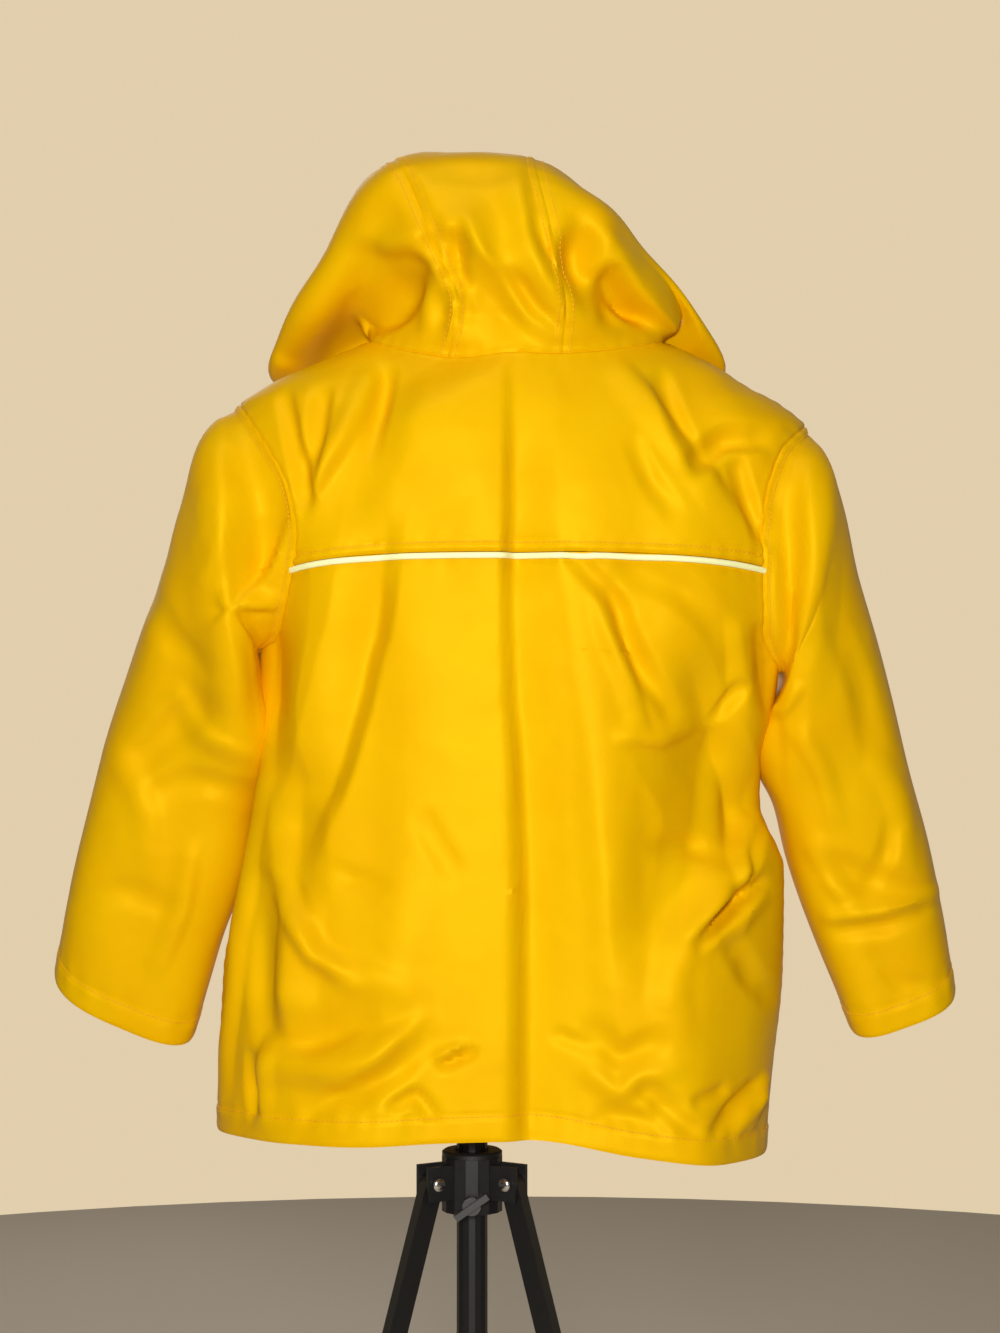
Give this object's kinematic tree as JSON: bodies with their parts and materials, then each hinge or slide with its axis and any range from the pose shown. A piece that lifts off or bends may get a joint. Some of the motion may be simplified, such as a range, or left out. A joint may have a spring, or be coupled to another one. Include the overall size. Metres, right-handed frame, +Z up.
{
  "type": "kids raincoat on a limbless dress form and folding tripod stand",
  "caption": "Hooded, hip-length child's raincoat in coated cloth with a back yoke and reflective piping, worn by a limbless form on a folding tripod stand.",
  "frame": {"origin": "on the floor, under the middle of the whole object's bounding box", "axes": "+Z up, +Y out of the coat's back, +X to the wearer's left"},
  "size_m": [0.6374, 0.2804, 1.1889],
  "materials": {
    "cloth": "smooth coated cloth, half matt",
    "piping": "reflective tape, satin",
    "snap": "smooth plastic",
    "form": "jersey over foam",
    "stand": "black powder coat",
    "foot": "matt",
    "knob": "matt"
  },
  "bodies": {
    "hub": {"tripod_hub": "stand"},
    "coat_on_pole": {"back_yoke": "cloth", "back_panel": "cloth", "front_left": "cloth", "front_right": "cloth", "sleeve_left": "cloth", "sleeve_right": "cloth", "hood_side_left": "cloth", "hood_centre": "cloth", "hood_side_right": "cloth", "storm_strip": "cloth", "yoke_piping": "piping", "snap_1": "snap", "snap_2": "snap", "snap_3": "snap", "snap_4": "snap", "snap_5": "snap", "dress_form": "form", "pole": "stand"},
    "leg_left": {"leg_left": "stand", "foot_left": "foot"},
    "leg_right": {"leg_right": "stand", "foot_right": "foot"},
    "leg_front": {"leg_front": "stand", "foot_front": "foot"},
    "knob": {"clamp_knob": "knob"}
  },
  "joints": [
    {"name": "pole_height", "type": "slide", "parent": "hub", "child": "coat_on_pole", "axis": [0, 0, 1], "range_m": [-0.04, 0.1]},
    {"name": "leg_left_fold", "type": "hinge", "parent": "hub", "child": "leg_left", "pos_m": [0.05036, 0.05385, 0.474], "axis": [-0.5, 0.866, 0], "range_deg": [0, 14]},
    {"name": "leg_right_fold", "type": "hinge", "parent": "hub", "child": "leg_right", "pos_m": [-0.00506, 0.05385, 0.474], "axis": [-0.5, -0.866, 0], "range_deg": [0, 14]},
    {"name": "leg_front_fold", "type": "hinge", "parent": "hub", "child": "leg_front", "pos_m": [0.02265, 0.00585, 0.474], "axis": [1, 0, 0], "range_deg": [0, 14]},
    {"name": "clamp_knob_turn", "type": "hinge", "parent": "hub", "child": "knob", "pos_m": [0.02265, 0.06385, 0.461], "axis": [0, 1, 0], "continuous": true}
  ]
}
